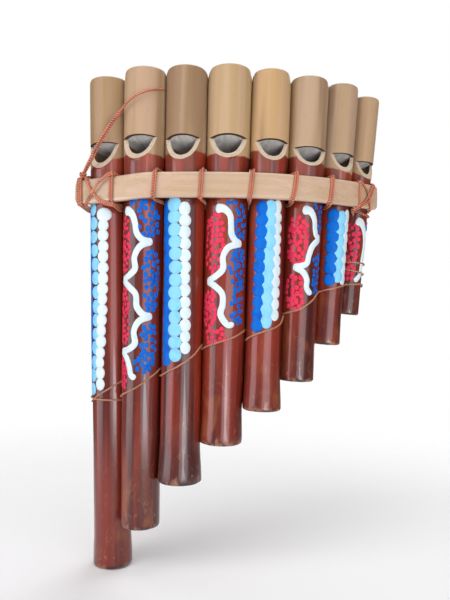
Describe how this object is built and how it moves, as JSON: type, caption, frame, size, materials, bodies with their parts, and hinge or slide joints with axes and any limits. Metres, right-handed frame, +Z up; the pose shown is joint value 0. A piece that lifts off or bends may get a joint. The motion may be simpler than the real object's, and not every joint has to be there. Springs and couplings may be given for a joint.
{
  "type": "pan flute",
  "caption": "Bowed row of stopped bamboo pipes with whistle heads, lashed between two bamboo slats, with a hanging loop of cord.",
  "frame": {"origin": "on the axis of the fourth pipe from the long end, halfway up the slats", "axes": "+Z up along the pipes towards the mouths, front (windows and painted side) towards -Y, long pipe towards -X"},
  "size_m": [0.1831, 0.0533, 0.2928],
  "materials": {
    "lacquered_bamboo": "clear red-brown lacquer over bamboo, plain bamboo above the slat",
    "plain_wood": "plain sanded",
    "plain_bamboo": "plain split bamboo, satin",
    "waxed_cord": "waxed twisted cord"
  },
  "bodies": {
    "root": {"pipe_1": "lacquered_bamboo", "pipe_2": "lacquered_bamboo", "pipe_3": "lacquered_bamboo", "pipe_4": "lacquered_bamboo", "pipe_5": "lacquered_bamboo", "pipe_6": "lacquered_bamboo", "pipe_7": "lacquered_bamboo", "pipe_8": "lacquered_bamboo", "fipple_block_1": "plain_wood", "fipple_block_2": "plain_wood", "fipple_block_3": "plain_wood", "fipple_block_4": "plain_wood", "fipple_block_5": "plain_wood", "fipple_block_6": "plain_wood", "fipple_block_7": "plain_wood", "fipple_block_8": "plain_wood", "front_slat": "plain_bamboo", "back_slat": "plain_bamboo", "slat_tie_1": "waxed_cord", "slat_tie_2": "waxed_cord", "slat_tie_3": "waxed_cord", "slat_tie_4": "waxed_cord", "slat_tie_5": "waxed_cord", "slat_tie_6": "waxed_cord", "slat_tie_7": "waxed_cord", "left_lashing": "waxed_cord", "right_lashing": "waxed_cord", "lower_binding": "waxed_cord", "hanging_loop": "waxed_cord", "loop_knot": "waxed_cord"}
  },
  "joints": []
}
